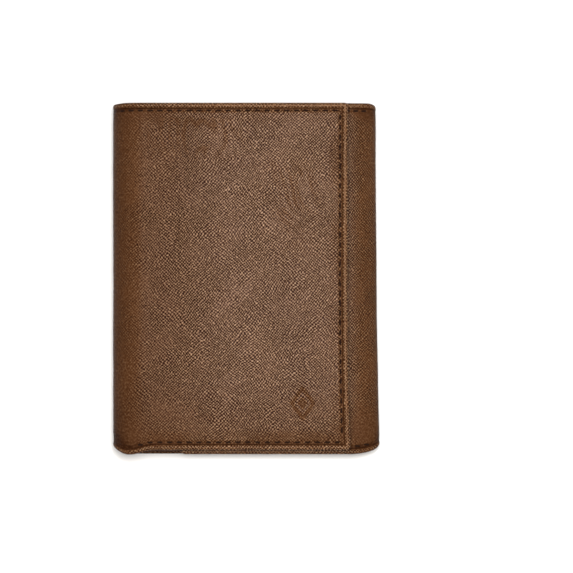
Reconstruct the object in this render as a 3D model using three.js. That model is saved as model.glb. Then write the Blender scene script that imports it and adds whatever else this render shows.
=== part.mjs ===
// A trifold wallet of grained leather, closed and lying on its back.
// Millimetres. +Z up, +Y along the wallet's height, +X across its width. The origin is the middle of
// the back face. Three panels share two folds: the front flap turns on the left fold and is outermost,
// the inner flap turns on the right fold and lies between the front flap and the centre panel.
// Each fold is a strip of its own, so it turns on two edges: the one on the back face, and the one on
// the flap's outer face.
import * as THREE from 'three';

// ---- driving dimensions ----
const HALF_WIDTH = 41; // from the middle of the back to the outside of either fold
const TOP = 54; // the panels' top edge, where the bill compartment opens
const BOTTOM = -54;
const FRONT_BOTTOM = -52.6; // the front flap is cut a little shorter than the back
const FRONT_FREE_EDGE = 31.4;
const INNER_FREE_EDGE = -20;
const FREE_CORNER_RADIUS = 3;
const FOLD_CORNER_RADIUS = 1.2;

const SHELL = 1.1; // the outer leather
const STIFFENER = 0.4; // the board bonded behind it
const LINING = 0.25; // woven lining
const DIVIDER = 0.5; // the leather that carries the card pockets
const POCKET = 0.4; // one card pocket's leather
const FILM = 0.2;
const THREAD = 0.15;
const BILL_GAP = 0.8; // the bill compartment, between the lining and the divider's lining
const BOND = 0.05; // the glue line between two layers
const PANEL_GAP = 0.35; // the room between two folded panels

const FOLD_PLAY = 0.3; // the room between a shell's edge and the fold strip beside it
const FOLD_DEPTH = 3; // how far the inside layers stop short of the outside of a fold
const SHELL_INSET = 0.3; // how far a shell stops short of the outside of a fold
const LAYER_INSET = 0.8; // how far the inside layers stop short of the shell's other edges
const HEM_WIDTH = 2;
const HEM_PLAY = 0.05;

const SEAM_INSET = 2.2; // from a flap's edge to its line of stitches
const SEAM_WIDTH = 0.6;
const SEAM_FOLD_END = 4.5; // from the outside of a fold to the first stitch

const POCKET_STEP = 13; // from one card pocket's mouth to the next
const FIRST_MOUTH = 12; // from the panel's top edge to the highest mouth
const WINDOW_SIDE = 7; // the ID window's leather border
const WINDOW_END = 11;
const WINDOW_RADIUS = 3;

// ---- materials ----
const LOOKS = {
  outerLeather: { color: 0x6b4a33, roughness: 0.55, metalness: 0 },
  innerLeather: { color: 0x5a3c28, roughness: 0.6, metalness: 0 },
  lining: { color: 0x33291f, roughness: 0.85, metalness: 0 },
  board: { color: 0x9c8c72, roughness: 0.9, metalness: 0 },
  film: { color: 0xdde4e8, roughness: 0.2, metalness: 0, transparent: true, opacity: 0.5 },
  thread: { color: 0x4a3322, roughness: 0.7, metalness: 0 },
};

const wallet = new THREE.Group();
const panels = {};
for (const name of ['centre', 'leftFold', 'front', 'rightFold', 'inner']) {
  panels[name] = new THREE.Group();
  wallet.add(panels[name]);
}

function place(panel, name, look, geometry) {
  const mesh = new THREE.Mesh(geometry, new THREE.MeshStandardMaterial(LOOKS[look]));
  mesh.name = name;
  panels[panel].add(mesh);
  return mesh;
}

// ---- outlines ----

// A rectangle whose left and right corners have their own radii, traced anticlockwise.
function roundedOutline(target, { left, right, bottom, top }, leftRadius, rightRadius) {
  const quarter = Math.PI / 2;
  target.moveTo(left + leftRadius, bottom);
  target.lineTo(right - rightRadius, bottom);
  target.absarc(right - rightRadius, bottom + rightRadius, rightRadius, -quarter, 0);
  target.lineTo(right, top - rightRadius);
  target.absarc(right - rightRadius, top - rightRadius, rightRadius, 0, quarter);
  target.lineTo(left + leftRadius, top);
  target.absarc(left + leftRadius, top - leftRadius, leftRadius, quarter, 2 * quarter);
  target.lineTo(left, bottom + leftRadius);
  target.absarc(left + leftRadius, bottom + leftRadius, leftRadius, 2 * quarter, 3 * quarter);
  return target;
}

// A flat sheet from z up to z + thickness, with its edges eased by `ease`.
function sheet(shape, z, thickness, ease = 0) {
  const geometry = new THREE.ExtrudeGeometry(shape, {
    depth: thickness - 2 * ease,
    bevelEnabled: ease > 0,
    bevelThickness: ease,
    bevelSize: ease,
    bevelOffset: -ease,
    bevelSegments: 1,
    curveSegments: 4,
  });
  geometry.translate(0, 0, z + ease);
  return geometry;
}

function panelSheet(area, z, thickness, ease, leftRadius, rightRadius) {
  const shape = roundedOutline(new THREE.Shape(), area, leftRadius, rightRadius);
  return sheet(shape, z, thickness, ease);
}

// A strip that stands in a fold: `low` to `high` in z, its left face at x.
function uprightSheet(x, thickness, low, high, halfHeight, ease) {
  const area = { left: -halfHeight, right: halfHeight, bottom: low, top: high };
  const shape = roundedOutline(new THREE.Shape(), area, ease, ease);
  const geometry = sheet(shape, 0, thickness, ease / 2);
  const upright = new THREE.Matrix4().makeBasis(
    new THREE.Vector3(0, 1, 0),
    new THREE.Vector3(0, 0, 1),
    new THREE.Vector3(1, 0, 0),
  );
  geometry.applyMatrix4(upright);
  geometry.translate(x, 0, 0);
  return geometry;
}

// ---- the layers of one panel ----

// Gives each layer its z, working inwards from the outer face. `inwards` is +1 where the inside of the
// panel faces up, and -1 where it faces down.
function layerStack(outerFace, inwards) {
  let depth = 0;
  return (thickness, gapBefore = BOND) => {
    depth += gapBefore;
    const near = outerFace + inwards * depth;
    depth += thickness;
    const far = outerFace + inwards * depth;
    return Math.min(near, far);
  };
}

// The shell, board, lining, hem, divider lining and divider that every panel has.
function panelBase(panel, prefix, take, area, corners) {
  const [leftRadius, rightRadius] = corners;
  const inside = insideArea(area, panel);
  place(panel, `${prefix}_shell`, 'outerLeather',
    panelSheet(area, take(SHELL, 0), SHELL, 0.3, leftRadius, rightRadius));
  place(panel, `${prefix}_stiffener`, 'board',
    panelSheet(inside, take(STIFFENER), STIFFENER, 0, 1, 1));
  place(panel, `${prefix}_lining`, 'lining', panelSheet(inside, take(LINING), LINING, 0, 1, 1));
  const hemThickness = BILL_GAP - 2 * HEM_PLAY;
  const hem = { ...inside, top: inside.bottom + HEM_WIDTH };
  place(panel, `${prefix}_hem`, 'outerLeather',
    panelSheet(hem, take(hemThickness, HEM_PLAY), hemThickness, 0, 0.5, 0.5));
  place(panel, `${prefix}_divider_lining`, 'lining',
    panelSheet(inside, take(LINING, HEM_PLAY), LINING, 0, 1, 1));
  place(panel, `${prefix}_divider`, 'innerLeather',
    panelSheet(inside, take(DIVIDER), DIVIDER, 0.1, 1, 1));
  return inside;
}

// The area of a panel's inside layers: clear of each fold, and a little inside every other edge.
function insideArea(area, panel) {
  const foldOnLeft = panel !== 'inner';
  const foldOnRight = panel !== 'front';
  return {
    left: foldOnLeft ? -HALF_WIDTH + FOLD_DEPTH : area.left + LAYER_INSET,
    right: foldOnRight ? HALF_WIDTH - FOLD_DEPTH : area.right - LAYER_INSET,
    bottom: area.bottom + LAYER_INSET,
    top: area.top - LAYER_INSET,
  };
}

// Card pockets, each one shorter than the one behind it, so that their mouths step down the panel.
function cardPockets(panel, prefix, take, inside, count) {
  for (let i = 0; i < count; i += 1) {
    const mouth = inside.top - FIRST_MOUTH - i * POCKET_STEP;
    const area = { ...inside, top: mouth };
    place(panel, `${prefix}_pocket_${i + 1}`, 'innerLeather',
      panelSheet(area, take(POCKET), POCKET, 0.08, 0.8, 0.8));
  }
}

// The thread that runs round a flap's three free sides, as one ribbon on its outer leather.
function seam(panel, name, area, z, foldOnLeft) {
  const line = {
    left: foldOnLeft ? area.left + SEAM_FOLD_END : area.left + SEAM_INSET,
    right: foldOnLeft ? area.right - SEAM_INSET : area.right - SEAM_FOLD_END,
    bottom: area.bottom + SEAM_INSET,
    top: area.top - SEAM_INSET,
  };
  const [fold, free] = foldOnLeft ? [line.left, line.right] : [line.right, line.left];
  const inner = free + (foldOnLeft ? -SEAM_WIDTH : SEAM_WIDTH);
  const shape = new THREE.Shape([
    new THREE.Vector2(fold, line.bottom),
    new THREE.Vector2(free, line.bottom),
    new THREE.Vector2(free, line.top),
    new THREE.Vector2(fold, line.top),
    new THREE.Vector2(fold, line.top - SEAM_WIDTH),
    new THREE.Vector2(inner, line.top - SEAM_WIDTH),
    new THREE.Vector2(inner, line.bottom + SEAM_WIDTH),
    new THREE.Vector2(fold, line.bottom + SEAM_WIDTH),
  ]);
  place(panel, name, 'thread', sheet(shape, z, THREAD));
}

// ---- heights, from the back face up ----
const PANEL_BASE = SHELL + STIFFENER + LINING + BILL_GAP + LINING + DIVIDER + 3 * BOND;
const CENTRE_POCKETS = 3;
const FRONT_POCKETS = 3;
const centreTop = PANEL_BASE + CENTRE_POCKETS * (POCKET + BOND);
const windowLayers = FILM + POCKET + 2 * BOND;
const innerTop = centreTop + PANEL_GAP + PANEL_BASE + windowLayers;
const frontTop = innerTop + THREAD + BOND + PANEL_GAP + PANEL_BASE + FRONT_POCKETS * (POCKET + BOND);

// ---- centre panel ----
const centreArea = {
  left: -HALF_WIDTH + SHELL_INSET,
  right: HALF_WIDTH - SHELL_INSET,
  bottom: BOTTOM,
  top: TOP,
};
const centreLayer = layerStack(0, 1);
const centreCorners = [FOLD_CORNER_RADIUS, FOLD_CORNER_RADIUS];
const centreInside = panelBase('centre', 'centre', centreLayer, centreArea, centreCorners);
cardPockets('centre', 'centre', centreLayer, centreInside, CENTRE_POCKETS);

// ---- front flap ----
const frontArea = { ...centreArea, right: FRONT_FREE_EDGE, bottom: FRONT_BOTTOM };
const frontLayer = layerStack(frontTop, -1);
const frontCorners = [FOLD_CORNER_RADIUS, FREE_CORNER_RADIUS];
const frontInside = panelBase('front', 'front', frontLayer, frontArea, frontCorners);
cardPockets('front', 'front', frontLayer, frontInside, FRONT_POCKETS);
seam('front', 'front_thread', frontArea, frontTop + BOND, true);

// ---- inner flap, with the ID window on its inside ----
const innerArea = { ...centreArea, left: INNER_FREE_EDGE };
const innerLayer = layerStack(innerTop, -1);
const innerCorners = [FREE_CORNER_RADIUS, FOLD_CORNER_RADIUS];
const innerInside = panelBase('inner', 'inner', innerLayer, innerArea, innerCorners);
seam('inner', 'inner_thread', innerArea, innerTop + BOND, false);

function windowFrame(area) {
  const frame = roundedOutline(new THREE.Shape(), area, 1, 1);
  const glazed = {
    left: area.left + WINDOW_SIDE,
    right: area.right - WINDOW_SIDE,
    bottom: area.bottom + WINDOW_END,
    top: area.top - WINDOW_END,
  };
  frame.holes.push(roundedOutline(new THREE.Path(), glazed, WINDOW_RADIUS, WINDOW_RADIUS));
  return frame;
}

const filmArea = {
  left: innerInside.left + WINDOW_SIDE / 2,
  right: innerInside.right - WINDOW_SIDE / 2,
  bottom: innerInside.bottom + WINDOW_END / 2,
  top: innerInside.top - WINDOW_END / 2,
};
place('inner', 'id_window_film', 'film', panelSheet(filmArea, innerLayer(FILM), FILM, 0, 1, 1));
place('inner', 'id_window_frame', 'innerLeather',
  sheet(windowFrame(innerInside), innerLayer(POCKET), POCKET, 0.08));

// ---- the two fold strips ----

// `side` is -1 on the left fold and +1 on the right one, and flapTop is the outer face of its flap.
function foldStrips(panel, prefix, side, flapTop) {
  const shellLow = SHELL + FOLD_PLAY;
  const shellHigh = flapTop - SHELL - FOLD_PLAY;
  const layer = (name, look, depth, thickness, low, high, halfHeight, ease) => {
    const outside = side * (HALF_WIDTH - depth);
    const x = Math.min(outside, outside - side * thickness);
    place(panel, `${prefix}_${name}`, look, uprightSheet(x, thickness, low, high, halfHeight, ease));
  };
  const inset = LAYER_INSET;
  const liningDepth = SHELL + BOND;
  const dividerDepth = liningDepth + LINING + BOND;
  layer('shell', 'outerLeather', 0, SHELL, shellLow, shellHigh, TOP - FOLD_PLAY, 0.3);
  layer('lining', 'lining', liningDepth, LINING, shellLow + inset, shellHigh - inset, TOP - inset, 0.1);
  layer('divider', 'innerLeather', dividerDepth, DIVIDER,
    PANEL_BASE - DIVIDER, flapTop - PANEL_BASE + DIVIDER, TOP - inset, 0.15);
}

foldStrips('leftFold', 'left_fold', -1, frontTop);
foldStrips('rightFold', 'right_fold', 1, innerTop);

export default wallet;
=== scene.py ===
"""A trifold wallet of grained leather, closed and lying on its back."""
import math
from collections import namedtuple

import bpy
import numpy as np
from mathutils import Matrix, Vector


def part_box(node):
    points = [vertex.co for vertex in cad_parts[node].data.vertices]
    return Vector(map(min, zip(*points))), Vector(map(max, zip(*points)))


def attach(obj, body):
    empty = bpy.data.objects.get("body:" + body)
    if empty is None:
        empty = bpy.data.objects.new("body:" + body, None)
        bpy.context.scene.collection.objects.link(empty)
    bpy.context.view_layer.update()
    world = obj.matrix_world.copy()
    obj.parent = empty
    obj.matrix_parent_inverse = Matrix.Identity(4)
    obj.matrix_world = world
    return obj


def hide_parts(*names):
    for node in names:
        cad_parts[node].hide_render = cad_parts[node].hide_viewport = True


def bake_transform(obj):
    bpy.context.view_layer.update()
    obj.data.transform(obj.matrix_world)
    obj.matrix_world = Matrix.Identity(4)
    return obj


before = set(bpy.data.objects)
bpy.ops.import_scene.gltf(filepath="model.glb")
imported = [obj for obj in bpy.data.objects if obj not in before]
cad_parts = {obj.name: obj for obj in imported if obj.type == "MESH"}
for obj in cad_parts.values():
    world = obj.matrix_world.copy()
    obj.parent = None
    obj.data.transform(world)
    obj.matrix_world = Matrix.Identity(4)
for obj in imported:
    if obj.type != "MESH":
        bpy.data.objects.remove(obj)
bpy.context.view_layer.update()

MM = 0.001
FAR = 1e3

# Millimetres to one unit of a mesh's flat coordinates.
UV_MM = 100.0

# The period of a wave texture's bands at scale 1, in its own units.
WAVE_PERIOD = math.pi / 10

# ---- Sizes, in millimetres, read from the frame ----


def box_mm(node):
    low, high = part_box(node)
    return [c / MM for c in low], [c / MM for c in high]


def top_of(node):
    return box_mm(node)[1][2]


def bottom_of(node):
    return box_mm(node)[0][2]


HALF = box_mm("right_fold_shell")[1][0]
TOP = box_mm("centre_shell")[1][1]
BOTTOM = box_mm("centre_shell")[0][1]
FRONT_BOTTOM = box_mm("front_shell")[0][1]
FRONT_FREE = box_mm("front_shell")[1][0]
INNER_FREE = box_mm("inner_shell")[0][0]
FRONT_TOP = top_of("front_shell")
INNER_TOP = top_of("inner_shell")
SHELL = top_of("centre_shell") - bottom_of("centre_shell")
LIP = top_of("centre_lining") - top_of("centre_shell")
INSET = box_mm("centre_lining")[0][1] - BOTTOM

# A fold's two rounded corners, as (half axis in x, half axis in z).
LEFT_LOW_CORNER = (5.0, 4.5)
LEFT_HIGH_CORNER = (9.5, 7.5)
RIGHT_LOW_CORNER = (5.0, 3.3)
RIGHT_HIGH_CORNER = (9.5, 5.0)

# The outer seam and the finer one inside.
STITCH_INSET = 2.4
CREASE_INSET = 1.75
RIDGE_INSET = 0.9
STITCH_PITCH, STITCH_LENGTH, STITCH_RADIUS = 3.0, 1.9, 0.29
INSIDE_PITCH, INSIDE_LENGTH, INSIDE_RADIUS = 2.8, 1.8, 0.17

# The flaps' rounded corners, and the middle of the lozenge pressed into the front flap.
FREE_CORNER = 1.1
LOZENGE = (17.2, -38.3)

# Depths of the lining below the outer face, on the flat and in the folds, where the outer leather
# is skived thinner so that it bends.
SKIVED = 0.3
FLAT_LINING = bottom_of("centre_lining")
FOLD_LINING = box_mm("left_fold_lining")[0][0] + HALF - SKIVED

# The leather of the ID window's frame beside the opening, and beyond its ends.
WINDOW_SIDE = 7.0
WINDOW_END = 11.0

# The grain of the inside leather is drawn finer along the folds.
FOLD_STRETCH = 1.7

# The corners' pull on the edges dies out this far up from the bottom and down from the top, and the
# free edge's stray this far in from it.
LOW_REACH, HIGH_REACH, FREE_REACH = 28, 20, 30

rng = np.random.default_rng(20)

# ---- Smooth noise and small curves ----


def smooth(t):
    t = np.clip(t, 0.0, 1.0)
    return t * t * (3.0 - 2.0 * t)


def bump_at(d, centre, width):
    return np.exp(-(((d - centre) / width) ** 2))


def lattice_noise(x, y, seed):
    """Gradient noise of about -1 to 1 with one bump to a unit square."""
    table = np.random.default_rng(seed).uniform(0, 2 * np.pi, (64, 64))
    xi, yi = np.floor(x).astype(int), np.floor(y).astype(int)
    xf, yf = x - xi, y - yi
    sx, sy = smooth(xf), smooth(yf)

    def corner(dx, dy):
        angle = table[(xi + dx) % 64, (yi + dy) % 64]
        return np.cos(angle) * (xf - dx) + np.sin(angle) * (yf - dy)

    low = corner(0, 0) * (1 - sx) + corner(1, 0) * sx
    high = corner(0, 1) * (1 - sx) + corner(1, 1) * sx
    return 1.5 * (low * (1 - sy) + high * sy)


def wrinkles(x, y, angle, along, across, seed):
    """Creases that run at `angle` degrees, `along` mm long and `across` mm apart, from 0 to -1."""
    a = math.radians(angle)
    bend = 1.6 * lattice_noise(x / 14, y / 14, seed + 7)
    u = (x * math.cos(a) + y * math.sin(a)) / along
    v = (-x * math.sin(a) + y * math.cos(a)) / across + bend
    n = lattice_noise(u, v, seed)
    return -np.clip(1 - 3.2 * np.abs(n), 0, 1) ** 1.5


# ---- Meshes from grids ----


# How far the grid lines beside a free edge are from it.
EDGE_LINES = np.concatenate([[0, 0.05, 0.12, 0.2, 0.3], np.arange(0.42, 4.2, 0.13)])


def graded(low, high, step, dense_low=False, dense_high=False, extra=()):
    """Grid lines from low to high, `step` apart, closer together near a free edge and in each
    (from, to, step) stretch of `extra`."""
    near = EDGE_LINES[EDGE_LINES < (high - low) * 0.5]
    reach = near[-1] + 0.1
    lines = [np.linspace(low, high, max(2, int(round((high - low) / step)) + 1))]
    if dense_low:
        lines[0] = lines[0][lines[0] > low + reach]
        lines.append(low + near)
    if dense_high:
        lines[0] = lines[0][lines[0] < high - reach]
        lines.append(high - near)
    for start, end, fine in extra:
        lines[0] = lines[0][(lines[0] < start) | (lines[0] > end)]
        lines.append(np.arange(start, end, fine))
    return np.unique(np.round(np.concatenate(lines), 5))


def grid_faces(rows, cols, first=0, flip=False, wrap=False):
    """Quads of a rows x cols grid of vertices. wrap joins the last row to the first."""
    last = rows if wrap else rows - 1
    i, j = np.meshgrid(np.arange(last), np.arange(cols - 1), indexing="ij")
    k = (i + 1) % rows
    a, b = i * cols + j, k * cols + j
    quads = np.stack([a, b, b + 1, a + 1], -1).reshape(-1, 4) + first
    return quads[:, ::-1] if flip else quads


def border_faces(rows, cols, offset):
    """Quads that join the borders of one grid to those of a copy `offset` vertices later."""
    i, j = np.arange(rows - 1), np.arange(cols - 1)
    sides = [
        (j, j + 1),
        ((rows - 1) * cols + j + 1, (rows - 1) * cols + j),
        ((i + 1) * cols, i * cols),
        (i * cols + cols - 1, (i + 1) * cols + cols - 1),
    ]
    return np.concatenate([np.stack([a, b, b + offset, a + offset], -1) for a, b in sides])


def placed(name, data):
    obj = bpy.data.objects.new(name, data)
    bpy.context.scene.collection.objects.link(obj)
    return obj


def make_object(name, parts, look, sharp=50):
    """A mesh object from (points, quads, uv, light and wear). Points and uv are in millimetres. The
    last
    is one number for each point: below 0 where shade is painted on and where the leather is pressed
    dark, above 0 where a highlight is painted on."""
    points_mm, quads, uv, painted_light_and_wear = parts
    mesh = bpy.data.meshes.new(name)
    mesh.from_pydata((np.asarray(points_mm) * MM).tolist(), [], np.asarray(quads).tolist())
    layer = mesh.uv_layers.new(name="surface")
    corners = np.empty(len(mesh.loops), int)
    mesh.loops.foreach_get("vertex_index", corners)
    layer.data.foreach_set("uv", (np.asarray(uv)[corners] / UV_MM).ravel())
    mesh.attributes.new("painted_light_and_wear", "FLOAT", "POINT").data.foreach_set("value", painted_light_and_wear)
    mesh.polygons.foreach_set("use_smooth", [True] * len(mesh.polygons))
    mesh.set_sharp_from_angle(angle=math.radians(sharp))
    mesh.materials.append(look.material)
    obj = placed(name, mesh)
    return obj


def merged(parts):
    """(points, quads, uv) parts as one, with no wear."""
    points, quads, uvs = zip(*parts)
    firsts = np.cumsum([0] + [len(p) for p in points])
    quads = np.concatenate([q + first for q, first in zip(quads, firsts)])
    return np.concatenate(points), quads, np.concatenate(uvs), np.zeros(firsts[-1])


def closed_sheet(outer, inner, uv, flip, painted_light_and_wear=None):
    """A closed solid from the two faces of a sheet, each rows x cols x 3. The painted light and shade
    given last is the outer one's.
    """
    rows, cols, _ = outer.shape
    n = rows * cols
    walls = border_faces(rows, cols, n)
    quads = np.concatenate([grid_faces(rows, cols, 0, flip), grid_faces(rows, cols, n, not flip),
                            walls[:, ::-1] if flip else walls])
    points = np.concatenate([outer.reshape(-1, 3), inner.reshape(-1, 3)])
    flat = uv.reshape(-1, 2)
    painted_light_and_wear_value = np.zeros(n) if painted_light_and_wear is None else painted_light_and_wear.ravel()
    return points, quads, np.concatenate([flat, flat + [200.0, 0.0]]), np.tile(painted_light_and_wear_value, 2)


# ---- Materials ----


class Nodes:
    """A small helper for writing node trees."""

    def __init__(self, name):
        self.material = bpy.data.materials.new(name)
        self.material.use_nodes = True
        self.tree = self.material.node_tree
        self.shader = self.tree.nodes["Principled BSDF"]

    def add(self, kind, **settings):
        node = self.tree.nodes.new(kind)
        for key, value in settings.items():
            if key in node.inputs:
                node.inputs[key].default_value = value
            else:
                setattr(node, key, value)
        return node

    def link(self, source, target):
        self.tree.links.new(source, target)

    def into(self, socket, value):
        self.put(self.shader.inputs[socket], value)

    def put(self, socket, value):
        """Link a node's output to the socket, or set it to a plain value."""
        if isinstance(value, (int, float, tuple)):
            socket.default_value = value
        else:
            self.link(value, socket)

    def surface_uv(self):
        """The sheet's own flat coordinates, in millimetres."""
        uv = self.add("ShaderNodeUVMap", uv_map="surface")
        mapping = self.add("ShaderNodeMapping", Scale=(UV_MM, UV_MM, UV_MM))
        self.link(uv.outputs[0], mapping.inputs["Vector"])
        return mapping.outputs[0]

    def noise(self, vector, scale, detail=3.0, roughness=0.5):
        node = self.add("ShaderNodeTexNoise", Scale=scale, Detail=detail, Roughness=roughness)
        self.link(vector, node.inputs["Vector"])
        return node.outputs["Fac"], node.outputs["Color"]

    def ramp(self, value, *stops):
        """Each stop is a place and a colour, or a place and a grey."""
        node = self.add("ShaderNodeValToRGB")
        while len(node.color_ramp.elements) < len(stops):
            node.color_ramp.elements.new(0.5)
        for element, (place, colour) in zip(node.color_ramp.elements, stops):
            element.position = place
            element.color = (*(colour if isinstance(colour, tuple) else [colour] * 3), 1.0)
        self.link(value, node.inputs[0])
        return node.outputs[0]

    def math(self, operation, *values, kind="Math", **settings):
        node = self.add("ShaderNode" + kind, operation=operation, **settings)
        for socket, value in zip(node.inputs, values):
            self.put(socket, value)
        return node.outputs[0]

    def mix_value(self, share, a, b):
        node = self.add("ShaderNodeMix", data_type="FLOAT")
        for index, value in ((0, share), (2, a), (3, b)):
            self.put(node.inputs[index], value)
        return node.outputs[0]

    def tinted(self, colour, by):
        """The product of two colours."""
        node = self.add("ShaderNodeMix", data_type="RGBA", blend_type="MULTIPLY")
        for index, value in ((0, 1.0), (6, colour), (7, by)):
            self.put(node.inputs[index], value)
        return node.outputs[2]

    def bump(self, height, depth, strength=1.0):
        """A normal that follows `height`, whose full range is `depth` mm."""
        node = self.add("ShaderNodeBump", Strength=strength, Distance=depth * MM)
        self.link(height, node.inputs["Height"])
        return node.outputs[0]


def warped(nodes, vector, scale, amount):
    """The vector pushed about by noise, so that no row of grain is straight."""
    _, colour = nodes.noise(vector, scale, 2.0)
    push = nodes.math("SUBTRACT", colour, (0.5,) * 3, kind="VectorMath")
    return nodes.math("MULTIPLY_ADD", push, (amount,) * 3, vector, kind="VectorMath")


def grain_rows(nodes, vector, turn, period):
    """Rounded rows `period` mm apart, at `turn` degrees, from 0 between rows to 1 on them."""
    mapping = nodes.add("ShaderNodeMapping", Rotation=(0, 0, math.radians(turn)))
    nodes.link(vector, mapping.inputs["Vector"])
    wave = nodes.add("ShaderNodeTexWave", wave_type="BANDS", bands_direction="X",
                     Scale=WAVE_PERIOD / period)
    nodes.link(mapping.outputs[0], wave.inputs["Vector"])
    return wave.outputs["Fac"]


# The leather's grain. Noise scales are bumps to a millimetre.
ROW_TURNS = (-43, 46)
SECOND_PERIOD = 1.06
BEND, SHAKE = (0.12, 2.6), (1.05, 0.76)
PEBBLE_SIZE, PEBBLE_HEIGHT, PEBBLE_SHARE = 1.15, 2.2, 0.27
SPECK_SCALE, SPECK_SHARE = 1.5, 0.42
PORE_SCALE, PORE_SHARE = 5.0, 0.12
MEAN_GRAIN = 0.52

# Painted light and shade, and pressed marks, up to UNMARKED either way leave the grain whole, and
# beyond it the grain is soon smoothed away.
UNMARKED, SMOOTHING = 0.18, 1.6

# The finish lies on top of the grain: its relief is this share of the leather's own.
COAT_RELIEF = 0.14


def grain_of(nodes, vector, painted_light_and_wear_value, period):
    """The grain's height, from 0 in its pits to 1 on its tops: two crossing sets of rows that take
    turns, with pebbles between them, fading in and out."""
    loose = warped(nodes, warped(nodes, vector, *BEND), *SHAKE)
    rising = grain_rows(nodes, loose, ROW_TURNS[0], period)
    falling = grain_rows(nodes, loose, ROW_TURNS[1], period * SECOND_PERIOD)
    patch, _ = nodes.noise(vector, 0.07, 2.0)
    lattice = nodes.mix_value(nodes.ramp(patch, (0.40, 0.42), (0.64, 0.57)), rising, falling)
    cells = nodes.add("ShaderNodeTexVoronoi", feature="DISTANCE_TO_EDGE",
                      Scale=1.0 / period / PEBBLE_SIZE)
    nodes.link(loose, cells.inputs["Vector"])
    pebbles = nodes.math("MULTIPLY", cells.outputs["Distance"], PEBBLE_HEIGHT, use_clamp=True)
    grain = nodes.mix_value(PEBBLE_SHARE, lattice, pebbles)
    fade, _ = nodes.noise(vector, 0.09, 3.0, 0.6)
    strength = nodes.ramp(fade, (0.32, 0.66), (0.58, 1.0))
    smoothed = nodes.math("SUBTRACT", nodes.math("ABSOLUTE", painted_light_and_wear_value), UNMARKED, use_clamp=True)
    smoothed = nodes.math("MULTIPLY", smoothed, SMOOTHING)
    strength = nodes.math("SUBTRACT", strength, smoothed, use_clamp=True)
    grain = nodes.mix_value(strength, MEAN_GRAIN, grain)
    specks, _ = nodes.noise(vector, SPECK_SCALE, 2.0, 0.6)
    return nodes.math("MULTIPLY_ADD", nodes.math("SUBTRACT", specks, 0.5), SPECK_SHARE, grain)


def leather(name, colours, period, depth, roughness):
    """Goat-like leather. colours are those of its pits, its body and the top of its grain: the pits'
    colour holds painted shade and the tops' a painted highlight, over the leather's own tone.
    """
    nodes = Nodes(name)
    vector = nodes.surface_uv()
    painted_light_and_wear_value = nodes.add("ShaderNodeAttribute", attribute_name="painted_light_and_wear").outputs["Fac"]
    grain = grain_of(nodes, vector, painted_light_and_wear_value, period)
    pores, _ = nodes.noise(vector, PORE_SCALE, 2.0)
    height = nodes.math("MULTIPLY_ADD", pores, PORE_SHARE, grain)

    # Pits darkened with painted shade and grain tops lightened with a painted highlight.
    tone = nodes.ramp(grain, *zip((0.27, 0.50, 0.77), colours))
    cloud, _ = nodes.noise(vector, 0.05, 4.0, 0.55)
    tone = nodes.tinted(tone, nodes.ramp(cloud, (0.3, (0.93, 0.92, 0.91)), (0.7, (1.06, 1.06, 1.05))))
    # Below the middle, painted shade and pressed marks darken the colour; above it, a painted
    # highlight lightens and pales it.
    half_light_and_wear = nodes.math("MULTIPLY_ADD", painted_light_and_wear_value, 0.5, 0.5)
    pressed, painted_light = (0.22, 0.17, 0.14), (1.45, 1.70, 2.0)
    tone = nodes.tinted(tone, nodes.ramp(half_light_and_wear, (0.0, pressed), (0.5, 1.0), (1.0, painted_light)))
    nodes.into("Base Color", tone)

    fine, _ = nodes.noise(vector, 1.6, 3.0)
    nodes.into("Roughness", nodes.math("MULTIPLY_ADD", fine, 0.16, roughness - 0.08))
    nodes.into("Normal", nodes.bump(height, depth))
    gloss = nodes.ramp(grain, (0.25, 0.02), (0.84, 0.26))
    # The coat thins wherever the colour is darkened, by painted shade and by pressed marks.
    undarkened = nodes.math("ADD", nodes.math("MINIMUM", painted_light_and_wear_value, 0.0), 1.0, use_clamp=True)
    nodes.into("Coat Weight", nodes.math("MULTIPLY", gloss, nodes.math("POWER", undarkened, 3.0)))
    nodes.into("Coat Normal", nodes.bump(height, depth * COAT_RELIEF))
    nodes.into("Specular IOR Level", 0.02)
    nodes.into("Coat Roughness", 0.34)
    nodes.into("Coat IOR", 1.5)
    return nodes.material


def woven(name, dark, light, pitch):
    """A plain weave of `pitch` mm."""
    nodes = Nodes(name)
    vector = nodes.surface_uv()
    loose = warped(nodes, vector, 0.4, 0.12)
    heights = []
    for direction in ("X", "Y"):
        wave = nodes.add("ShaderNodeTexWave", wave_type="BANDS", bands_direction=direction,
                         Scale=1 / pitch / 3.2, Distortion=0.4)
        nodes.link(loose, wave.inputs["Vector"])
        heights.append(wave.outputs["Fac"])
    fibres, _ = nodes.noise(vector, 5.0, 3.0)
    height = nodes.math("MULTIPLY_ADD", fibres, 0.4, nodes.math("MAXIMUM", *heights))
    nodes.into("Base Color", nodes.ramp(height, (0.3, dark), (1.2, light)))
    nodes.into("Roughness", nodes.math("MULTIPLY_ADD", fibres, 0.2, 0.68))
    nodes.into("Normal", nodes.bump(height, 0.06, 0.8))
    nodes.into("Sheen Weight", 0.25)
    return nodes.material


def twisted_thread(name, dark, light):
    nodes = Nodes(name)
    vector = nodes.surface_uv()
    wave = nodes.add("ShaderNodeTexWave", wave_type="BANDS", bands_direction="DIAGONAL", Scale=1.1,
                     Distortion=0.6)
    nodes.link(vector, wave.inputs["Vector"])
    fibres, _ = nodes.noise(vector, 8.0, 3.0)
    height = nodes.math("MULTIPLY_ADD", fibres, 0.5, wave.outputs["Fac"])
    nodes.into("Base Color", nodes.ramp(height, (0.2, dark), (1.2, light)))
    nodes.into("Roughness", nodes.math("MULTIPLY_ADD", fibres, 0.2, 0.6))
    nodes.into("Normal", nodes.bump(height, 0.05, 0.8))
    nodes.into("Specular IOR Level", 0.03)
    return nodes.material


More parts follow.
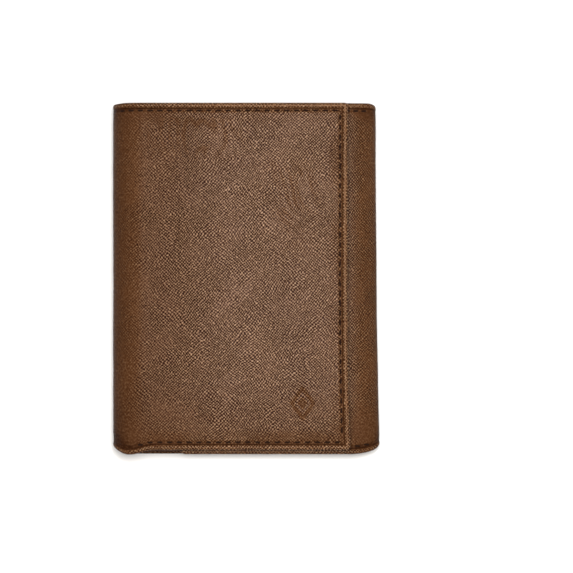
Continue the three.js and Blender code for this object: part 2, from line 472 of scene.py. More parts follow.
def clear_film(name):
    nodes = Nodes(name)
    vector = nodes.surface_uv()
    cloud, _ = nodes.noise(vector, 0.08, 3.0)
    scuffs, _ = nodes.noise(vector, 1.2, 4.0, 0.7)
    nodes.into("Roughness", nodes.ramp(scuffs, (0.35, 0.10), (0.75, 0.32)))
    tone = nodes.ramp(cloud, (0.3, (0.70, 0.74, 0.76)), (0.7, (0.84, 0.87, 0.88)))
    nodes.into("Base Color", tone)
    nodes.into("Normal", nodes.bump(cloud, 0.4, 0.5))
    nodes.into("Alpha", 0.3)
    return nodes.material


def fibre_board(name):
    nodes = Nodes(name)
    fibres, _ = nodes.noise(nodes.surface_uv(), 2.5, 4.0, 0.7)
    tone = nodes.ramp(fibres, (0.3, (0.22, 0.17, 0.11)), (0.7, (0.40, 0.33, 0.22)))
    nodes.into("Base Color", tone)
    nodes.into("Roughness", nodes.math("ADD", fibres, 0.35, use_clamp=True))
    nodes.into("Normal", nodes.bump(fibres, 0.05, 0.6))
    return nodes.material


Look = namedtuple("Look", "material slot")
# Each leather's pits, body and grain tops: the pits darkened with painted shade, the tops lightened
# with a painted highlight.
OUTER_COLOURS = (0.018, 0.0045, 0.0016), (0.106, 0.0420, 0.0150), (0.325, 0.186, 0.098)
INNER_COLOURS = (0.026, 0.0085, 0.0035), (0.066, 0.025, 0.0110), (0.090, 0.037, 0.017)
OUTER = Look(leather("grained_leather", OUTER_COLOURS, period=0.67, depth=0.55, roughness=0.40),
             "outer_leather")
INNER = Look(leather("smooth_leather", INNER_COLOURS, period=0.52, depth=0.05, roughness=0.48),
             "inner_leather")
LINING = Look(woven("lining_cloth", (0.012, 0.008, 0.005), (0.050, 0.034, 0.022), pitch=0.35),
              "lining")
THREAD = Look(twisted_thread("sewing_thread", (0.004, 0.002, 0.0015), (0.022, 0.010, 0.006)),
              "thread")
FILM = Look(clear_film("window_film"), "film")
BOARD = Look(fibre_board("board"), "board")

# ---- The outer leather's cross-section ----


def along_line(side, x, z):
    """The arc lengths along a line, and its x, z and outward normal's x and z on that side."""
    s = np.concatenate([[0], np.cumsum(np.hypot(np.diff(x), np.diff(z)))])
    slope_x, slope_z = np.gradient(x, s), np.gradient(z, s)
    size = np.hypot(slope_x, slope_z)
    return s, (side * x, z, side * slope_z / size, -slope_x / size)


class FoldPath:
    """The outer face of the leather in cross-section, from the middle of the back, out round one
    fold and in over its flap. side is -1 for the left fold and +1 for the right one."""

    def __init__(self, side, flap_top, low_corner, high_corner, free_edge, bodies):
        (low_x, low_z), (high_x, high_z) = low_corner, high_corner
        turn = np.linspace(0, np.pi / 2, 400)
        stretches = [
            (np.linspace(0, HALF - low_x, 400), np.zeros(400)),
            (HALF - low_x + low_x * np.sin(turn), low_z - low_z * np.cos(turn)),
            (np.full(200, HALF), np.linspace(low_z, flap_top - high_z, 200)),
            (HALF - high_x + high_x * np.cos(turn), flap_top - high_z + high_z * np.sin(turn)),
            (np.linspace(HALF - high_x, side * free_edge, 600), np.full(600, flap_top)),
        ]
        x, z = (np.concatenate(c) for c in zip(*stretches))
        keep = np.concatenate([[True], np.hypot(np.diff(x), np.diff(z)) > 1e-6])
        self.side, self.bodies = side, bodies
        self.s, self.columns = along_line(side, x[keep], z[keep])
        self.end = self.s[-1]
        fold = np.abs(self.columns[0]) > HALF - 1e-4
        self.middle = 0.5 * (self.s[fold][0] + self.s[fold][-1])
        upright_end = max(flap_top - 6.0, 0.5 * (low_z + flap_top - high_z))
        self.low_bend = (side * (HALF - low_x), 0.0), (side * HALF, low_z)
        self.high_bend = (side * HALF, upright_end), (side * (HALF - 4.0), flap_top)

    def at(self, s):
        """x, z and the outward normal's x and z at arc length s."""
        return [np.interp(s, self.s, c) for c in self.columns]

    def s_at_x(self, x):
        """The arc length where the path is at x over the flap."""
        above = self.s > self.middle
        xs, ss = self.columns[0][above], self.s[above]
        order = np.argsort(xs)
        return float(np.interp(x, xs[order], ss[order]))


LEFT = FoldPath(-1, FRONT_TOP, LEFT_LOW_CORNER, LEFT_HIGH_CORNER, FRONT_FREE,
                ("left_fold", "front_flap"))
RIGHT = FoldPath(1, INNER_TOP, RIGHT_LOW_CORNER, RIGHT_HIGH_CORNER, INNER_FREE,
                 ("right_fold", "inner_flap"))


def into_fold(x, side, reach):
    """0 to 1 over the last `reach` mm before a side of the wallet."""
    return np.clip((side * x - (HALF - reach)) / reach, 0, 1)


def quarter_round(t):
    """A curve that starts level and all but turns upright."""
    return 1 - np.sqrt(1 - 0.98 * t**2)


def left_corner_cut(x):
    """How far the leather's (bottom, top) edges draw in where it goes round the left fold."""
    t = into_fold(x, -1, 4.2)
    return 2.5 * (0.55 * t**1.4 + 0.45 * quarter_round(t)), 0.45 * into_fold(x, -1, 5.0) ** 2


def right_corner_cut(x):
    """The same round the right fold, whose bottom corner is drawn in along a long curve."""
    t = into_fold(x, 1, 9.2)
    low = 2.7 * (0.6 * t**2 + 0.4 * quarter_round(t**4))
    return low, 0.9 * quarter_round(into_fold(x, 1, 2.6))


def hang(x):
    """How far the front flap's bottom edge comes down to the back's as it nears the left fold."""
    return (FRONT_BOTTOM - BOTTOM) * smooth((-x - 28.5) / 7.5)


def drawn_in(wrap, x, y, bottom, top):
    """y, moved by the pull of the corners at x."""
    low_cut, high_cut = wrap.corner_cut(x)
    to_bottom, to_top = y - bottom, top - y
    return y + low_cut * smooth(1 - to_bottom / LOW_REACH) - high_cut * smooth(1 - to_top / HIGH_REACH)


def right_lean(x, y):
    """The right fold stands in a little towards its top."""
    rise = (y - BOTTOM) / (TOP - BOTTOM)
    lean = 1.2 * (1 - (1 - np.clip(rise, 0, 1)) ** 2.2)
    return -lean * smooth((x - (HALF - 13)) / 13)


def free_edge_drift(y):
    """How far the front flap's free edge strays from straight along its height."""
    rise = (y - FRONT_BOTTOM) / (TOP - FRONT_BOTTOM)
    return -0.35 + 0.15 * rise + 0.95 * (1 - rise) ** 5


# ---- Sheets that follow a fold path ----


def rounded_edge(d, radius):
    """The drop of a rounded edge at distance d inside it."""
    inside = np.clip(1 - d / radius, 0, 1)
    return -radius * (1 - np.sqrt(np.clip(1 - inside**2, 0, 1)))


def soft_corner(a, b, radius):
    """How far a point draws in, across each edge, where a corner's edges are a and b away."""
    p, q = np.clip(1 - a / radius, 0, 1), np.clip(1 - b / radius, 0, 1)
    return radius * (p - p * np.sqrt(1 - q * q / 2)), radius * (q - q * np.sqrt(1 - p * p / 2))


def stay(x, y):
    return np.zeros_like(x)


# How the wallet's layers go round one side: the path, how its corners draw in, its lean, how its
# flap's free edge strays, and how far the flap's bottom edge hangs.
Wrap = namedtuple("Wrap", "path corner_cut lean drift hang")
LEFT_WRAP = Wrap(LEFT, left_corner_cut, stay, free_edge_drift, hang)
RIGHT_WRAP = Wrap(RIGHT, right_corner_cut, right_lean, np.zeros_like, np.zeros_like)


def path_sheet(wrap, start, end, bottom, top, faces, *, step, free=False, extra_s=(), extra_y=()):
    """A closed sheet that follows a fold path. faces(points) gives the depth of its outer and inner
    face below the path, and perhaps its painted light and shade. points has the arrays s, u, x, y,
    to_free, to_seam and to_ends."""
    path = wrap.path
    s = graded(start, end, step, dense_high=free, extra=extra_s)
    y = graded(bottom, top, step, dense_low=True, dense_high=True, extra=extra_y)
    s, y = np.meshgrid(s, y, indexing="ij")
    x, z, nx, nz = path.at(s)
    to_top, to_bottom = top - y, y - bottom
    to_free = end - s if free else np.full_like(s, FAR)
    y_now = drawn_in(wrap, x, y, bottom, top)
    if free:
        y_now -= wrap.hang(x) * smooth(1 - to_bottom / LOW_REACH)
    shift = wrap.lean(x, y) + wrap.drift(y) * smooth(1 - (path.end - s) / FREE_REACH)
    if free:
        for to_edge, inward in ((to_top, -1), (to_bottom, 1)):
            away, across = soft_corner(to_free, to_edge, FREE_CORNER)
            shift = shift + path.side * away
            y_now = y_now + inward * across
    to_seam = np.minimum(np.minimum(to_top, to_bottom), to_free)
    points = dict(s=s, u=path.side * s, x=x, y=y, to_free=to_free, to_seam=to_seam,
                  to_ends=np.minimum(to_top, to_bottom))
    outer, inner, painted_light_and_wear = faces(points)

    def face(depth):
        return np.stack([x - nx * depth + shift, y_now, z - nz * depth], -1)

    uv = np.stack([points["u"], y], -1)
    return closed_sheet(face(outer), face(inner), uv, path.side > 0, painted_light_and_wear)


# ---- The outer leather ----


def off_fold(x):
    """0 in a fold, 1 on the flat."""
    return smooth((HALF - np.abs(x) - 5.0) / 4.0)


def edge_relief(d, x):
    """The turned edge of the leather: a soft ridge, the pressed crease, then the sunk seam. They
    all but flatten out where the edge goes round a fold."""
    pressed = 0.20 * bump_at(d, RIDGE_INSET, 0.38)
    pressed -= 0.30 * bump_at(d, CREASE_INSET, 0.24)
    pressed -= 0.20 * bump_at(d, STITCH_INSET, 0.38)
    pressed += 0.20 * smooth((d - STITCH_INSET) / 4.0)
    round_fold = smooth((np.abs(x) - (HALF - 5.0)) / 4.0)
    return rounded_edge(d, 0.6) + pressed * (1 - 0.75 * round_fold)


def stitch_dimples(along, d):
    """The leather sinks at each needle hole and stands up between the stitches."""
    phase = (along / STITCH_PITCH) % 1.0
    hole = np.minimum(phase, 1 - phase) * STITCH_PITCH
    return -0.12 * np.exp(-((hole / 0.45) ** 2)) * bump_at(d, STITCH_INSET, 0.45)


def leather_life(x, y):
    """Slow undulations and fine creases of worked leather."""
    life = 0.10 * lattice_noise(x / 26, y / 26, 3) + 0.035 * lattice_noise(x / 8, y / 8, 5)
    patch = smooth(0.5 + 1.4 * lattice_noise(x / 20, y / 20, 11))
    life += 0.030 * patch * wrinkles(x, y, 44, 9, 1.7, 21)
    life += 0.030 * (1 - patch) * wrinkles(x, y, -48, 9, 1.8, 31)
    return life


def front_marks(x, y):
    """Creases that only the front flap has: a fan below the top seam and long ones to the right."""
    fan = np.exp(-(((x + 15) / 13) ** 2)) * smooth((y - 34) / 8) * smooth((TOP - 3.5 - y) / 2)
    relief = 0.20 * fan * wrinkles(x + 0.35 * (y - 50), y, 80, 11, 2.9, 41)
    sweep = np.exp(-(((x - 16) / 10) ** 2) - (((y - 24) / 16) ** 2))
    relief += 0.20 * sweep * wrinkles(x, y, -54, 20, 2.0, 51)
    return relief


def pressed_lozenge(x, y):
    """A small plain lozenge pressed into the flap's lower corner."""
    centre_x, centre_y = LOZENGE
    u, v = np.abs(x - centre_x) / 3.3, np.abs(y - centre_y) / 4.6
    rim = (u + v - 1) * 2.6
    core = (u + v - 0.36) * 2.6
    return -bump_at(rim, 0, 0.30) - smooth(0.5 - core * 1.6)


def leather_faces(on_flap=False):
    """The two faces of the outer leather, whose edge is turned in over the board and the lining.
    on_flap adds the front flap's own marks, in its flat x and y."""
    def faces(at):
        d = at["to_seam"]
        calm = smooth(d / 4.5)
        relief = edge_relief(d, at["x"])
        relief += stitch_dimples(at["u"], at["to_ends"]) + stitch_dimples(at["y"], at["to_free"])
        relief += (0.35 + 0.65 * calm) * leather_life(at["u"], at["y"])
        painted_light_and_wear = edge_light_and_shade(d) + calm_patches(d, at["u"], at["y"])
        painted_light_and_wear += (front_light_and_shade if on_flap else fold_shade)(at["x"], at["y"])
        if on_flap:
            flat_x = FRONT_FREE - (LEFT.end - at["s"])
            marked = calm * front_marks(flat_x, at["y"])
            lozenge = pressed_lozenge(flat_x, at["y"])
            relief += marked + 0.28 * lozenge
            # Painted shade in the creases of the flap's marks and in the lozenge, which is partly a
            # darker pressed mark.
            painted_light_and_wear += 2.4 * marked + 0.45 * lozenge
        turned = LIP * smooth((INSET - 0.05 - d) / 0.25)
        thickness = SHELL - SKIVED * (1 - off_fold(at["x"]))
        return -relief, thickness + turned + rounded_edge(d, 0.35), painted_light_and_wear
    return faces


def calm_patches(d, u, y):
    """Stretches of leather beside the seam where the pull of the thread has smoothed the grain."""
    patch = smooth(0.45 + 1.6 * lattice_noise(u / 11, y / 11, 61))
    return -0.30 * patch * smooth((d - STITCH_INSET) / 0.6) * smooth((7.5 - d) / 4.5)


def edge_light_and_shade(d):
    """Painted shade in the crease, which is partly a darker pressed crease, and along the sunk seam; a
    painted highlight on the ridge of the edge and at its rim.
    """
    painted_light_and_wear = 0.62 * bump_at(d, 0.85, 0.28) - 0.95 * bump_at(d, CREASE_INSET, 0.22)
    return painted_light_and_wear - 0.30 * bump_at(d, STITCH_INSET, 0.45) + 0.15 * bump_at(d, 0.0, 0.3)


def fold_shade(x, y):
    """Painted shade where the leather turns away into a fold, most of all at the foot of the right
    one, and a painted shadow beside the front flap's free edge at that foot.
    """
    left = -0.66 * smooth((-x - 29.0) / 11.0)
    right = -(0.43 + 0.20 * smooth((-y - 34.0) / 14.0)) * smooth((x - 27.0) / 13.0)
    # A painted shadow of the front flap's free edge on the leather beside it, at the foot.
    right = right - 0.22 * smooth((-y - 36.0) / 10.0) * bump_at(x, 32.5, 4.0)
    return np.where(x < 0, left, right)


def front_light_and_shade(x, y):
    """Painted shade on the front flap from farther off, towards the left fold, and a painted highlight
    on its upper right. It is darker towards its foot too."""
    # A painted highlight on the upper right, less towards the foot.
    painted_light = 0.17 * np.exp(-(((x - 18) / 14) ** 2) - (((y - 18) / 26) ** 2))
    painted_light -= 0.13 * smooth((-y - 30.0) / 16.0)
    return painted_light - 0.31 * smooth((-x - 2.0) / 32.0) - 0.37 * smooth((-x - 29.0) / 11.0)


def blend(obj):
    """Bakes obj's placement into its mesh."""
    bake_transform(obj)


def wrapped(name, sheet, look, nodes):
    """A piece that goes over a flap, or across half the back, in the place of the CAD nodes."""
    obj = make_object(name, sheet, look)
    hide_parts(*nodes)
    blend(obj)
    return obj


def reach_of(path, over_flap):
    """The arc lengths between which a sheet lies."""
    return (path.middle, path.end) if over_flap else (0.0, path.middle)


def outer_leather(name, wrap, over_flap, bottom, nodes, step, **extra):
    faces = leather_faces(on_flap=bottom == FRONT_BOTTOM)
    sheet = path_sheet(wrap, *reach_of(wrap.path, over_flap), bottom, TOP, faces, step=step,
                       free=over_flap, **extra)
    wrapped(name, sheet, OUTER, nodes)


mark_s = LEFT.end - (FRONT_FREE - LOZENGE[0])
outer_leather("front_leather", LEFT_WRAP, True, FRONT_BOTTOM, ["front_shell"], 0.42,
              extra_s=[(mark_s - 7, mark_s + 7, 0.25)],
              extra_y=[(LOZENGE[1] - 6, LOZENGE[1] + 6, 0.2)])
outer_leather("back_leather_left", LEFT_WRAP, False, BOTTOM, ["centre_shell", "left_fold_shell"], 0.7)
outer_leather("back_leather_right", RIGHT_WRAP, False, BOTTOM, ["right_fold_shell"], 0.7)
outer_leather("inner_leather", RIGHT_WRAP, True, BOTTOM, ["inner_shell"], 0.6)

# ---- Linings that follow the outer leather ----


def lining_faces(thickness):
    """A lining lies on the board, and on the leather itself in the folds, where there is no board."""
    def faces(at):
        depth = FOLD_LINING + (FLAT_LINING - FOLD_LINING) * off_fold(at["x"])
        depth = depth + 0.02 * lattice_noise(at["u"] / 9, at["y"] / 9, 77)
        return depth, depth + thickness, None
    return faces


def lining(name, wrap, over_flap, node, *nodes):
    """node gives the lining's height and thickness, and nodes are those it stands for."""
    (_, bottom, _), (_, top, _) = box_mm(node)
    thickness = top_of(node) - bottom_of(node)
    start, end = reach_of(wrap.path, over_flap)
    end = end - INSET if over_flap else end
    sheet = path_sheet(wrap, start, end, bottom, top, lining_faces(thickness), step=1.2,
                       free=over_flap)
    obj = wrapped(name, sheet, LINING, nodes)


lining("front_lining_cloth", LEFT_WRAP, True, "front_lining", "front_lining")
lining("back_lining_cloth_left", LEFT_WRAP, False, "centre_lining", "centre_lining",
       "left_fold_lining")
lining("back_lining_cloth_right", RIGHT_WRAP, False, "centre_lining", "right_fold_lining")
lining("inner_lining_cloth", RIGHT_WRAP, True, "inner_lining", "inner_lining")

# ---- Stitches ----


def stitch(centre, along, out, length, radius):
    """One stitch: a short rounded length of thread whose two ends dive into their holes."""
    rings, sides = 9, 8
    centre, along, out = (np.asarray(v, float) for v in (centre, along, out))
    across = np.cross(out, along)
    t = np.linspace(-1, 1, rings)
    size = radius * np.sqrt(np.clip(1.02 - t**2, 0, 1)) ** 0.7
    depth = -1.3 * radius * np.abs(t) ** 2.5
    angle = np.linspace(0, 2 * np.pi, sides, endpoint=False)
    ring = np.cos(angle)[:, None] * across + np.sin(angle)[:, None] * out
    spine = centre + t[:, None] * along * length / 2 + depth[:, None] * out
    points = (spine[:, None] + size[:, None, None] * ring[None]).reshape(-1, 3)
    i, j = np.meshgrid(np.arange(rings - 1), np.arange(sides), indexing="ij")
    k = (j + 1) % sides
    a, b = i * sides + j, i * sides + k
    quads = np.stack([a, b, b + sides, a + sides], -1).reshape(-1, 4)
    ends = []
    for ring_start, order in ((0, -1), ((rings - 1) * sides, 1)):
        corners = (ring_start + np.arange(sides))[::order]
        ends += [[corners[0], corners[m], corners[m + 1], corners[m + 2]] for m in (1, 3, 5)]
    quads = np.concatenate([quads, np.array(ends)])
    uv = np.stack(np.meshgrid(t * length / 2, angle * radius, indexing="ij"), -1).reshape(-1, 2)
    return points, quads, uv


def tilted_stitch(centre, along, other, out, length, radius):
    """A stitch that lies a little askew."""
    along = along + rng.normal(0, 0.05) * other
    along = along / np.linalg.norm(along)
    length = length * rng.uniform(0.92, 1.06)
    return stitch(centre + 0.02 * out, along, out, length, radius)


def stitches_on_path(wrap, spots):
    """Stitches on the outer leather. spots are (s, y, direction), with direction "s" or "y"."""
    path, parts = wrap.path, []
    for s, y, direction in spots:
        x, z, nx, nz = path.at(s)
        low_cut, high_cut = wrap.corner_cut(x)
        if s > path.middle:
            low_cut = low_cut - wrap.hang(x)
        y_now = y + (low_cut if y < 0 else -high_cut)
        shift = wrap.lean(x, y) + wrap.drift(y) * smooth(1 - (path.end - s) / FREE_REACH)
        out, upright = np.array([nx, 0, nz]), np.array([0, 1.0, 0])
        along_s = np.array([-nz, 0, nx])
        along, other = (along_s, upright) if direction == "s" else (upright, along_s)
        middle = np.array([x + shift, y_now, z])
        parts.append(tilted_stitch(middle, along, other, out, STITCH_LENGTH, STITCH_RADIUS))
    return parts


def stitch_run(low, high, pitch=STITCH_PITCH):
    """Stitch centres between two ends, each midway between two needle holes."""
    return [(i + 0.5) * pitch for i in range(math.ceil(low / pitch), math.floor(high / pitch))]


def seam_spots(start, end, bottom, free=False, low_start=None):
    """Stitches along the top and the bottom, and up the free edge if there is one."""
    last = end - STITCH_INSET if free else end
    low_start = start if low_start is None else low_start
    spots = [(s, TOP - STITCH_INSET, "s") for s in stitch_run(start, last)]
    spots += [(s, bottom + STITCH_INSET, "s") for s in stitch_run(low_start, last)]
    if free:
        heights = stitch_run(bottom + STITCH_INSET, TOP - STITCH_INSET)
        spots += [(end - STITCH_INSET, y, "y") for y in heights]
    return spots


def sewn(name, parts, *nodes):
    obj = make_object(name, merged(parts), THREAD, sharp=80)
    if nodes:
        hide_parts(*nodes)
    return obj


spots = seam_spots(LEFT.s_at_x(-39.6), LEFT.end, FRONT_BOTTOM, True, LEFT.s_at_x(-36.5))
blend(sewn("front_stitches", stitches_on_path(LEFT_WRAP, spots), "front_thread"))

spots = seam_spots(RIGHT.s_at_x(39.6), RIGHT.end, BOTTOM, True)
blend(sewn("inner_stitches", stitches_on_path(RIGHT_WRAP, spots), "inner_thread"))

back_end = HALF - LEFT_LOW_CORNER[0]
parts = stitches_on_path(LEFT_WRAP, seam_spots(0.0, back_end, BOTTOM))
parts += stitches_on_path(RIGHT_WRAP, seam_spots(0.0, back_end, BOTTOM))
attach(sewn("back_stitches", parts), "centre_panel")

# ---- Flat layers inside the panels ----


# A panel's body, the start of its nodes' names, which way its inside faces when the wallet is
# closed (1 up, -1 down), and the x at which the folds end its leather layers.
Panel = namedtuple("Panel", "body prefix inward low_x high_x")
centre = Panel("centre_panel", "centre", 1, -38.0, 37.6)
front = Panel("front_flap", "front", -1, -35.8, None)
inner = Panel("inner_flap", "inner", -1, None, 36.4)


def flat_layer(name, node, panel, look, *, step=2.2, corner=0.9, ease=0.12, grooves=(),
               low_x=None, high_x=None, life=0.0):
    """A flat sheet in the place of a CAD layer. grooves are (edges, distance, depth, width), with
    edges from "lrbt" for left, right, bottom and top."""
    (x0, y0, z0), (x1, y1, z1) = box_mm(node)
    x0 = x0 if low_x is None else max(x0, low_x)
    x1 = x1 if high_x is None else min(x1, high_x)
    x = graded(x0, x1, step, dense_low=True, dense_high=True)
    y = graded(y0, y1, step, dense_low=True, dense_high=True)
    x, y = np.meshgrid(x, y, indexing="ij")
    to = {"l": x - x0, "r": x1 - x, "b": y - y0, "t": y1 - y}
    d = np.minimum.reduce(list(to.values()))
    relief = rounded_edge(d, ease)
    for edges, distance, depth, width in grooves:
        nearest = np.minimum.reduce([to[e] for e in edges])
        relief = relief - depth * bump_at(nearest, distance, width)
    relief = relief - life * (0.5 + 0.5 * lattice_noise(x / 7, y / 7, 91)) * smooth(d / 3)
    x_now, y_now = x.copy(), y.copy()
    for side, across_x in (("l", 1), ("r", -1)):
        for end, across_y in (("b", 1), ("t", -1)):
            in_x, in_y = soft_corner(to[side], to[end], corner)
            x_now, y_now = x_now + across_x * in_x, y_now + across_y * in_y
    show, hide = (z1, z0) if panel.inward > 0 else (z0, z1)
    shown = np.stack([x_now, y_now, show + panel.inward * relief], -1)
    hidden = np.stack([x_now, y_now, hide - panel.inward * rounded_edge(d, ease * 0.6)], -1)
    parts = closed_sheet(shown, hidden, np.stack([x, y], -1), flip=panel.inward < 0)
    obj = make_object(name, parts, look)
    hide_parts(node)
    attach(obj, panel.body)
    return obj


SEWN_EDGE = 1.5
MOUTH_GROOVES = (("t", 1.2, 0.07, 0.22), ("lrb", SEWN_EDGE, 0.06, 0.3))


def card_layers(panel, pockets):
    """The CAD nodes of a panel's divider and pockets, each nearer the inside than the last."""
    pocket_nodes = [f"{panel.prefix}_pocket_{i + 1}" for i in range(pockets)]
    return [f"{panel.prefix}_divider"] + pocket_nodes


def panel_layers(panel, board_x, hem_x, lining_x, pockets):
    """Every flat layer of one panel but its pockets' stitches. Each *_x is (lowest, highest) x,
    where the fold rounds off that layer."""
    prefix = panel.prefix
    flat_layer(f"{prefix}_board", f"{prefix}_stiffener", panel, BOARD, step=6,
               low_x=board_x[0], high_x=board_x[1], ease=0.05)
    flat_layer(f"{prefix}_hem_band", f"{prefix}_hem", panel, OUTER, step=2,
               low_x=hem_x[0], high_x=hem_x[1], corner=0.4)
    cloth = flat_layer(f"{prefix}_divider_cloth", f"{prefix}_divider_lining", panel, LINING,
                       low_x=lining_x[0], high_x=lining_x[1], ease=0.05)
    (x0, y0, _), (x1, y1, _) = box_mm(f"{prefix}_divider_lining")
    x0 = x0 if lining_x[0] is None else lining_x[0]
    x1 = x1 if lining_x[1] is None else lining_x[1]
    for node in card_layers(panel, pockets):
        flat_layer(f"{node}_leather", node, panel, INNER, low_x=panel.low_x, high_x=panel.high_x,
                   grooves=MOUTH_GROOVES)


panel_layers(centre, (-34.5, 34.5), (-36.5, 36.0), (-37.5, 36.8), 3)
panel_layers(front, (-31.2, None), (-33.2, None), (-34.8, None), 3)
panel_layers(inner, (None, 31.0), (None, 33.0), (None, 35.4), 0)


def inside_stitches(name, panel, rows):
    """Stitches on the inside of a panel. rows are (x or None, y or None, low, high, z)."""
    out = np.array([0, 0, float(panel.inward)])
    across, upright = np.array([1.0, 0, 0]), np.array([0, 1.0, 0])
    parts = []
    for x, y, low, high, z in rows:
        for t in stitch_run(low, high, INSIDE_PITCH):
            middle = np.array([t if x is None else x, t if y is None else y, z])
            along, other = (across, upright) if x is None else (upright, across)
            parts.append(tilted_stitch(middle, along, other, out, INSIDE_LENGTH, INSIDE_RADIUS))
    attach(sewn(name, parts), panel.body)


def pocket_rows(panel, pockets):
    """Stitch rows down both sides of the pockets and along their foot, on whichever layer shows."""
    layers = card_layers(panel, pockets)
    show = top_of if panel.inward > 0 else bottom_of
    (x0, y0, _), (x1, _, _) = box_mm(layers[0])
    x0 = x0 if panel.low_x is None else panel.low_x
    x1 = x1 if panel.high_x is None else panel.high_x
    rows = []
    for layer, above in zip(layers, layers[1:] + [None]):
        low = y0 + SEWN_EDGE if above is None else box_mm(above)[1][1]
        high = box_mm(layer)[1][1] - 1.0
        for x in (x0 + SEWN_EDGE, x1 - SEWN_EDGE):
            rows.append((x, None, low, high, show(layer)))
    rows.append((None, y0 + SEWN_EDGE, x0 + SEWN_EDGE, x1 - SEWN_EDGE, show(layers[-1])))
    return rows


inside_stitches("centre_pocket_stitches", centre, pocket_rows(centre, 3))
inside_stitches("front_pocket_stitches", front, pocket_rows(front, 3))

# ---- The ID window ----


def rounded_loop(left, right, low, high, radius, per_corner=10, per_side=24):
    """Points round a rounded rectangle, anticlockwise, with the same count whatever its size."""
    corners = [(right - radius, low + radius, -90), (right - radius, high - radius, 0),
               (left + radius, high - radius, 90), (left + radius, low + radius, 180)]
    points = []
    for i, (x, y, first) in enumerate(corners):
        turn = np.radians(first + np.linspace(0, 90, per_corner))
        arc = np.stack([x + radius * np.cos(turn), y + radius * np.sin(turn)], -1)
        next_x, next_y, next_first = corners[(i + 1) % 4]
        angle = math.radians(next_first)
        goal = np.array([next_x + radius * math.cos(angle), next_y + radius * math.sin(angle)])
        t = np.linspace(0, 1, per_side + 2)[1:-1, None]
        points += [arc, arc[-1] * (1 - t) + goal * t]
    return np.concatenate(points)


def window_frame(node, panel):
    """The leather frame round the clear window, with an eased and creased opening."""
    (x0, y0, z0), (x1, y1, z1) = box_mm(node)
    x1 = min(x1, panel.high_x)
    outside = rounded_loop(x0, x1, y0, y1, 0.9)
    opening = rounded_loop(x0 + WINDOW_SIDE, x1 - WINDOW_SIDE, y0 + WINDOW_END, y1 - WINDOW_END, 3.0)
    near = np.array([0, 0.03, 0.07, 0.13, 0.3, 0.6, 0.9, 1.1, 1.3, 1.5, 1.7, 2.0])
    width = np.linalg.norm(outside - opening, axis=1)[:, None]
    t = np.concatenate([near / WINDOW_SIDE, [0.4, 0.5, 0.6], 1 - near[::-1] / WINDOW_SIDE])[None]
    xy = outside[:, None] * (1 - t[..., None]) + opening[:, None] * t[..., None]
    to_outside, to_opening = t * width, (1 - t) * width
    d = np.minimum(to_outside, to_opening)
    relief = rounded_edge(d, 0.12) - 0.06 * bump_at(to_outside, SEWN_EDGE, 0.3)
    relief -= 0.07 * bump_at(to_opening, 1.2, 0.25)
    shown = np.dstack([xy, z0 - relief])
    hidden = np.dstack([xy, z1 + rounded_edge(d, 0.07)])
    rows, cols = d.shape
    n = rows * cols
    i = np.arange(rows)
    k = (i + 1) % rows
    walls = []
    for column, order in ((0, 1), (cols - 1, -1)):
        a, b = i * cols + column, k * cols + column
        walls.append(np.stack([a, b, b + n, a + n], -1)[:, ::order])
    quads = np.concatenate([grid_faces(rows, cols, 0, True, True),
                            grid_faces(rows, cols, n, False, True), *walls])
    points = np.concatenate([shown.reshape(-1, 3), hidden.reshape(-1, 3)])
    uv = np.concatenate([xy.reshape(-1, 2), xy.reshape(-1, 2) + [200.0, 0.0]])
    # Painted shade in the crease round the opening, partly a darker pressed crease.
    painted_light_and_wear = np.tile(-0.5 * bump_at(to_opening, 1.2, 0.25).ravel(), 2)
    obj = make_object("id_window_leather", (points, quads, uv, painted_light_and_wear), INNER)
    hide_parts(node)
    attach(obj, panel.body)


window_frame("id_window_frame", inner)
flat_layer("id_window_pane", "id_window_film", inner, FILM, life=0.05, ease=0.04)

(frame_x0, frame_y0, frame_z), (_, frame_y1, _) = box_mm("id_window_frame")
frame_x1 = inner.high_x
rows = [(x, None, frame_y0 + SEWN_EDGE, frame_y1 - SEWN_EDGE, frame_z)
        for x in (frame_x0 + SEWN_EDGE, frame_x1 - SEWN_EDGE)]
rows += [(None, y, frame_x0 + SEWN_EDGE, frame_x1 - SEWN_EDGE, frame_z)
         for y in (frame_y0 + SEWN_EDGE, frame_y1 - SEWN_EDGE)]
inside_stitches("id_window_stitches", inner, rows)

# ---- The inside leather of the folds ----


class InnerFold:
    """The inside leather's centre line through one fold: from a divider's end, round and up."""

    def __init__(self, side, fold_x, low, high):
        """low and high are each (x and z of a divider's end, height of the turn from it)."""
        turn = np.linspace(0, np.pi / 2, 24)

        def corner(x, z, rise):
            reach = abs(fold_x) - abs(x)
            return [(abs(x) + reach * math.sin(t), z + rise * (1 - math.cos(t))) for t in turn]

        low, high = corner(*low), corner(*high)[::-1]
        straight = np.linspace(low[-1][1], high[0][1], 30)[1:-1]
        line = np.array(low + [(abs(fold_x), z) for z in straight] + high)
        self.side = side
        self.s, self.columns = along_line(side, *line.T)
        self.middle = 0.5 * (self.s[len(low) - 1] + self.s[-len(high)])

    def strip(self, wrap, first, last, bottom, top, thickness):
        """The strip between two arc lengths, as a closed sheet."""
        s = np.linspace(first, last, 40)
        y = graded(bottom, top, 2.0, dense_low=True, dense_high=True)
        s, y = np.meshgrid(s, y, indexing="ij")
        x, z, nx, nz = (np.interp(s, self.s, c) for c in self.columns)
        y_now = drawn_in(wrap, x, y, bottom, top)
        x = x + wrap.lean(x, y)
        half = thickness / 2 + rounded_edge(np.minimum(y - bottom, top - y), 0.2)

        def face(offset):
            return np.stack([x + nx * offset, y_now, z + nz * offset], -1)

        uv = np.stack([s * FOLD_STRETCH, y], -1)
        return closed_sheet(face(half), face(-half), uv, flip=self.side > 0)


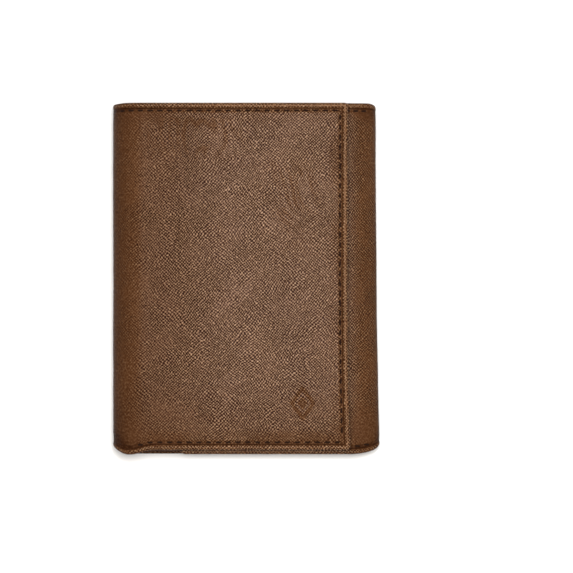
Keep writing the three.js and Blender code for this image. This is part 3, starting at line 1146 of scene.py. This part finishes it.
def fold_leather(prefix, wrap, fold_node, low, high):
    """The inside leather of one fold, split at mid height into two halves. low and high are each
    (divider's node, x of its end, height of the turn from it)."""
    side = wrap.path.side
    (x0, bottom, _), (x1, top, _) = box_mm(fold_node)
    fold_x = (x0 + x1) / 2 - side * SKIVED

    def corner(node, end_x, rise):
        return end_x, (bottom_of(node) + top_of(node)) / 2, rise

    low, high = corner(*low), corner(*high)
    line = InnerFold(side, fold_x, low, high)
    fold, flap = wrap.path.bodies
    for half, span, bodies, (x, z, rise) in (
            ("low", (0.0, line.middle), ("centre_panel", fold), low),
            ("high", (line.middle, line.s[-1]), (fold, flap), high)):
        sheet = line.strip(wrap, *span, bottom, top, x1 - x0)
        obj = make_object(f"{prefix}_fold_leather_{half}", sheet, INNER)
        if half == "low":
            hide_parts(fold_node)
        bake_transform(obj)


fold_leather("left", LEFT_WRAP, "left_fold_divider", ("centre_divider", centre.low_x, 3.0),
             ("front_divider", front.low_x, -5.2))
fold_leather("right", RIGHT_WRAP, "right_fold_divider", ("centre_divider", centre.high_x, 1.3),
             ("inner_divider", inner.high_x, -1.3))

# ---- Stage, light and camera ----


def area_light(name, place, size, power, colour=(1, 1, 1)):
    """A round soft light that shines on the wallet."""
    data = bpy.data.lights.new(name, "AREA")
    data.shape = "DISK"
    data.size = size
    data.energy = power
    data.color = colour
    light = placed(name, data)
    light.location = place
    light.rotation_euler = (-Vector(place)).to_track_quat("-Z", "Y").to_euler()


def pale_floor():
    """A wide floor just below the wallet."""
    mesh = bpy.data.meshes.new("floor")
    half = 6.0
    corners = [(-half, -half, 0), (half, -half, 0), (half, half, 0), (-half, half, 0)]
    mesh.from_pydata(corners, [], [(0, 1, 2, 3)])
    nodes = Nodes("pale_floor")
    nodes.into("Base Color", (0.80, 0.80, 0.80, 1))
    nodes.into("Roughness", 0.9)
    nodes.into("Specular IOR Level", 0.1)
    mesh.materials.append(nodes.material)
    floor = placed("floor", mesh)
    floor.location = (0, 0, -0.2 * MM)


def studio():
    world = bpy.data.worlds.new("studio")
    world.use_nodes = True
    background = world.node_tree.nodes["Background"]
    background.inputs[0].default_value = (1, 1, 1, 1)
    background.inputs[1].default_value = 0.22
    bpy.context.scene.world = world
    area_light("overhead", (-0.01, 0.01, 0.85), 0.40, 8.0, (1.0, 0.965, 0.915))
    area_light("key", (0.10, 0.22, 1.25), 0.5, 9.95)
    view = bpy.context.scene.view_settings
    view.view_transform = "Standard"
    view.look = "None"


def camera():
    """A long lens straight above, a little to the right of the wallet's middle and below it."""
    frame_width = 175.796
    data = bpy.data.cameras.new("camera")
    data.lens = 400
    data.sensor_width = 36
    data.clip_end = 20
    obj = placed("camera", data)
    distance = frame_width * data.lens / data.sensor_width
    obj.location = (12.35 * MM, -2.4 * MM, (distance + FRONT_TOP) * MM)
    bpy.context.scene.camera = obj


pale_floor()
studio()
camera()
